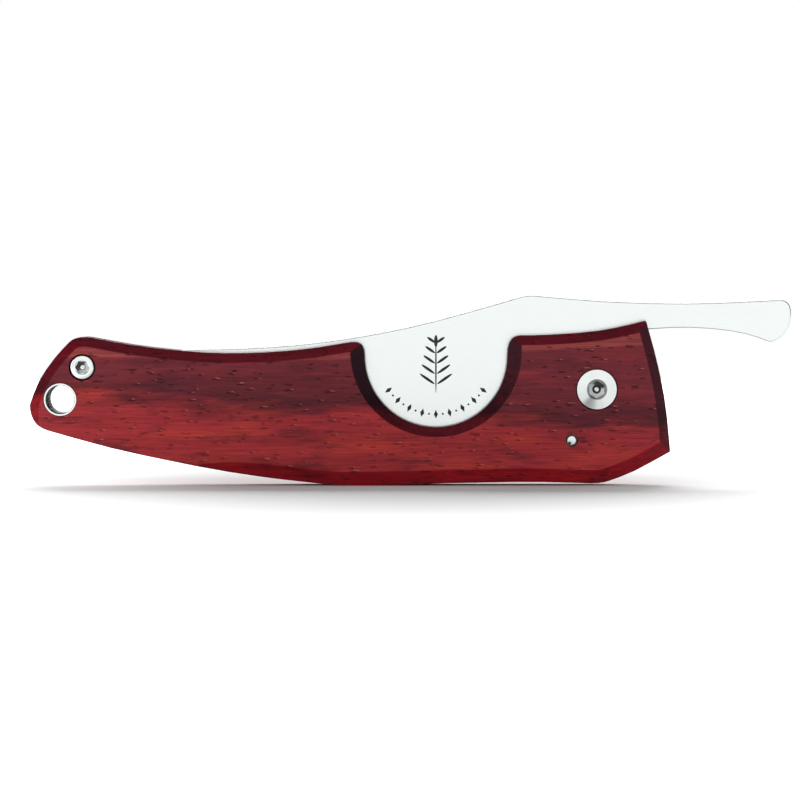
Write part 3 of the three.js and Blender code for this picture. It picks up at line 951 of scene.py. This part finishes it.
# Name, place, width and radiance of each soft light. All of them look at the middle of the handle.
SOFT_LIGHTS = (
    ("front_softbox", (0, -1.1, 0.3), 1.3, 1.13),
    ("left_softbox", (-1.1, -0.8, 0.25), 0.8, 2.6),
    ("right_softbox", (1.3, -0.3, 0.3), 0.8, 1.1),
    ("rear_softbox", (0, 0.97, 0.66), 0.7, 8.5),
    ("top_softbox", (0, 0.1, 1.1), 0.9, 0.4),
)
LIGHT_AIM = (0, 0, 15 * MM)
# How bright the room is as a light, and how bright its white backdrop looks.
ROOM_LIGHT, BACKDROP = 0.06, 1.0


def soft_light(name, place, size, radiance):
    """A square soft light. Its power follows from its size and radiance."""
    bpy.ops.object.light_add(type="AREA", location=place)
    light = bpy.context.object
    light.name = name
    light.data.shape = "SQUARE"
    light.data.size = size
    light.data.energy = radiance * math.pi * size * size
    light.rotation_euler = (Vector(LIGHT_AIM) - Vector(place)).to_track_quat("-Z", "Y").to_euler()


def floor_paint(look):
    """Matt white paint on the floor, with a painted glow: none near the knife, so that the shadow there
    stays dark, rising outwards to meet the white backdrop with no line.
    """
    material, tree = new_material("lit studio floor")
    place = add(tree, "ShaderNodeTexCoord")
    drawn_in = add(tree, "ShaderNodeVectorMath", {
        0: place.outputs["Object"], 1: (GLOW_SOONER_SIDEWAYS, 1, 1),
    }, operation="MULTIPLY")
    reach = add(tree, "ShaderNodeVectorMath", {0: drawn_in.outputs[0]}, operation="LENGTH")
    outward = add(tree, "ShaderNodeMapRange", {
        "Value": reach.outputs["Value"], "From Min": GLOW_FROM, "From Max": GLOW_TO,
    }, interpolation_type="SMOOTHSTEP")
    split = add(tree, "ShaderNodeSeparateXYZ", {"Vector": place.outputs["Object"]})
    backward = add(tree, "ShaderNodeMapRange", {
        "Value": split.outputs["Y"], "From Min": -GLOW_TO, "From Max": GLOW_TO,
        "To Min": FRONT_GLOW, "To Max": REAR_GLOW,
    })
    shader = add(tree, "ShaderNodeBsdfPrincipled", {
        "Base Color": tuple(look.floor) + (1,), "Roughness": 0.9, "Specular IOR Level": 0.0,
        "Emission Color": (1, 1, 1, 1),
        "Emission Strength": maths(tree, "MULTIPLY", outward.outputs[0], backward.outputs[0]),
    })
    close_material(tree, shader)
    return material


def light_room(scene):
    """A white room that gives only a little light of its own."""
    world = bpy.data.worlds.new("studio")
    scene.world = world
    world.use_nodes = True
    tree = world.node_tree
    tree.nodes.clear()
    path = add(tree, "ShaderNodeLightPath")
    seen = add(tree, "ShaderNodeMapRange", {
        "Value": path.outputs["Is Camera Ray"], "To Min": ROOM_LIGHT, "To Max": BACKDROP,
    })
    light = add(tree, "ShaderNodeBackground", {"Color": (1, 1, 1, 1), "Strength": seen.outputs[0]})
    output = tree.nodes.new("ShaderNodeOutputWorld")
    tree.links.new(light.outputs[0], output.inputs["Surface"])


def add_camera(scene):
    """A long lens, low down in front of the knife."""
    back = Vector((0, -math.cos(VIEW_RAISED), math.sin(VIEW_RAISED)))
    bpy.ops.object.camera_add(location=Vector(VIEW_AIM) + back * VIEW_DISTANCE)
    camera = bpy.context.object
    camera.rotation_euler = (-back).to_track_quat("-Z", "Y").to_euler()
    camera.data.sensor_width = SENSOR
    camera.data.lens = SENSOR * VIEW_DISTANCE / VIEW_WIDTH
    camera.data.clip_start = NEAREST_SEEN
    scene.camera = camera


class KNIFE_OT_stage(bpy.types.Operator):
    """Adds the pale floor, the soft lights and the camera"""

    bl_idname = "knife.stage"
    bl_label = "Stage"

    def execute(self, context):
        look = context.scene.knife_colours
        start_clean()
        bpy.ops.mesh.primitive_circle_add(vertices=64, radius=FLOOR_RADIUS, fill_type="NGON")
        floor = context.object
        floor.name = "studio_floor"
        floor.data.materials.append(floor_paint(look))
        for light in SOFT_LIGHTS:
            soft_light(*light)
        light_room(context.scene)
        add_camera(context.scene)
        context.scene.view_settings.view_transform = "Standard"
        return {"FINISHED"}


# ---- Add-on ----

STEPS = (
    KNIFE_OT_scales, KNIFE_OT_blade, KNIFE_OT_liners, KNIFE_OT_pivot, KNIFE_OT_tail_screws,
    KNIFE_OT_lanyard_tube, KNIFE_OT_stop_pin, KNIFE_OT_stage,
)


class KNIFE_PT_panel(bpy.types.Panel):
    """Lists the knife's pieces and the stage"""

    bl_label = "Cigar cutter knife"
    bl_idname = "KNIFE_PT_panel"
    bl_space_type = "VIEW_3D"
    bl_region_type = "UI"
    bl_category = "Knife"

    def draw(self, context):
        for step in STEPS:
            self.layout.operator(step.bl_idname)


CLASSES = (KnifeSizes, KnifeColours, *STEPS, KNIFE_PT_panel)


def register():
    for cls in CLASSES:
        bpy.utils.register_class(cls)
    bpy.types.Scene.knife_sizes = bpy.props.PointerProperty(type=KnifeSizes)
    bpy.types.Scene.knife_colours = bpy.props.PointerProperty(type=KnifeColours)


def unregister():
    del bpy.types.Scene.knife_colours
    del bpy.types.Scene.knife_sizes
    for cls in reversed(CLASSES):
        bpy.utils.unregister_class(cls)


def main():
    register()
    for step in STEPS:
        group, name = step.bl_idname.split(".")
        getattr(getattr(bpy.ops, group), name)()


if __name__ == "__main__":
    main()
